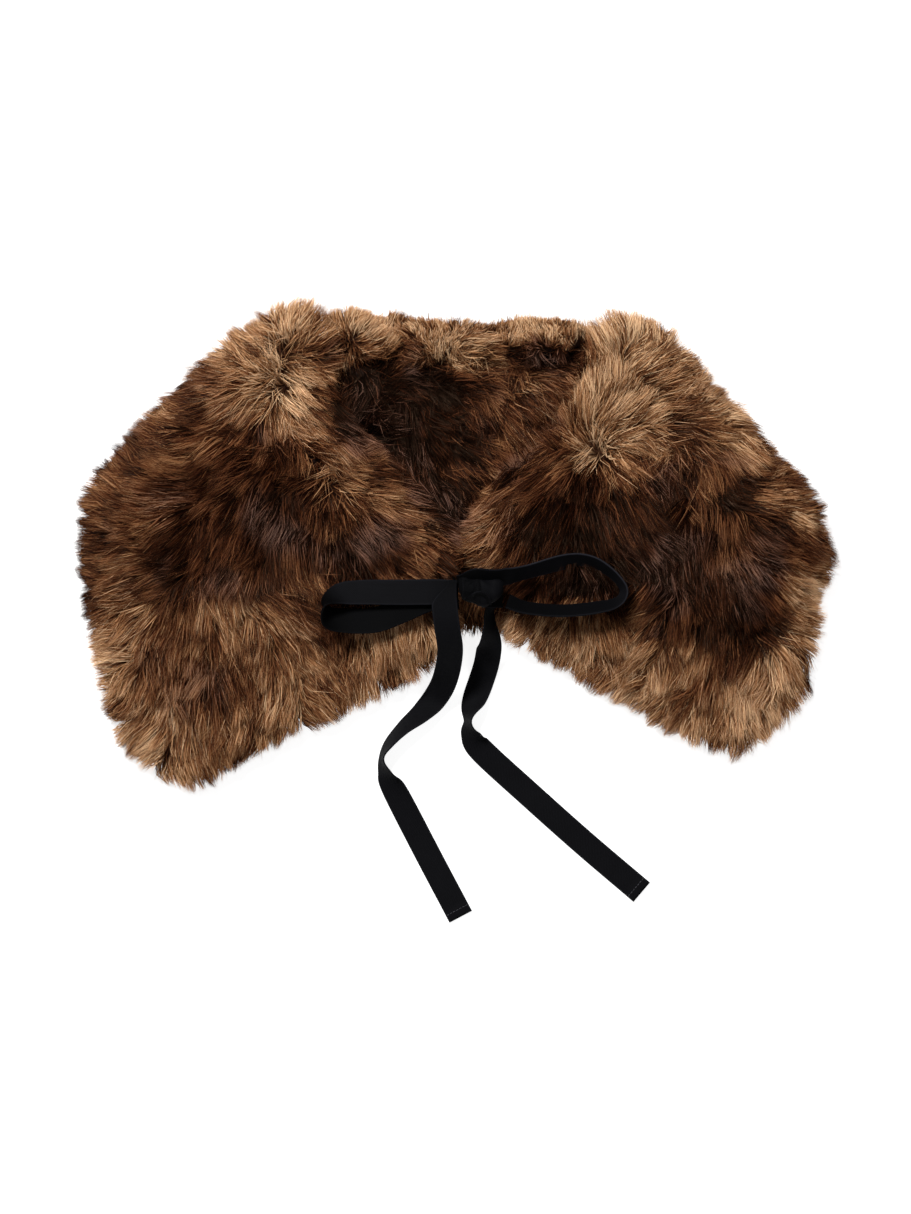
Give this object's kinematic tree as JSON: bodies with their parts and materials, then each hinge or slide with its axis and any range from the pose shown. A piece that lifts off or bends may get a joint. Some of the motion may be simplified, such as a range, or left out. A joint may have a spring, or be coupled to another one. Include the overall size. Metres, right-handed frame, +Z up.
{
  "type": "fur collar wrap",
  "caption": "Long-pile faux fur collar wrap in mottled tan, brown and dark chocolate, laid flat with both fronts folded over and black tape ties in a bow.",
  "frame": {"origin": "the middle of the wrap's bounding box, on the surface that it lies on", "axes": "+X to the right as seen from above, along its width; +Y towards the neck edge; +Z up from the surface"},
  "size_m": [0.4736, 0.391, 0.0593],
  "materials": {
    "fur_brown": "long soft pile, low gloss",
    "fur_dark": "long soft pile, low gloss",
    "fur_tan": "long soft pile, low gloss",
    "tape_black": "matte twill weave"
  },
  "bodies": {
    "root": {"fur_back": "fur_brown", "fur_back_facing": "fur_dark", "fur_neck_roll": "fur_tan", "fur_front_left": "fur_brown", "fur_front_right": "fur_brown", "tie_root_left": "tape_black", "tie_root_right": "tape_black", "bow_loop_left": "tape_black", "bow_loop_right": "tape_black", "bow_knot": "tape_black", "tie_tail_left": "tape_black", "tie_tail_right": "tape_black"}
  },
  "joints": []
}
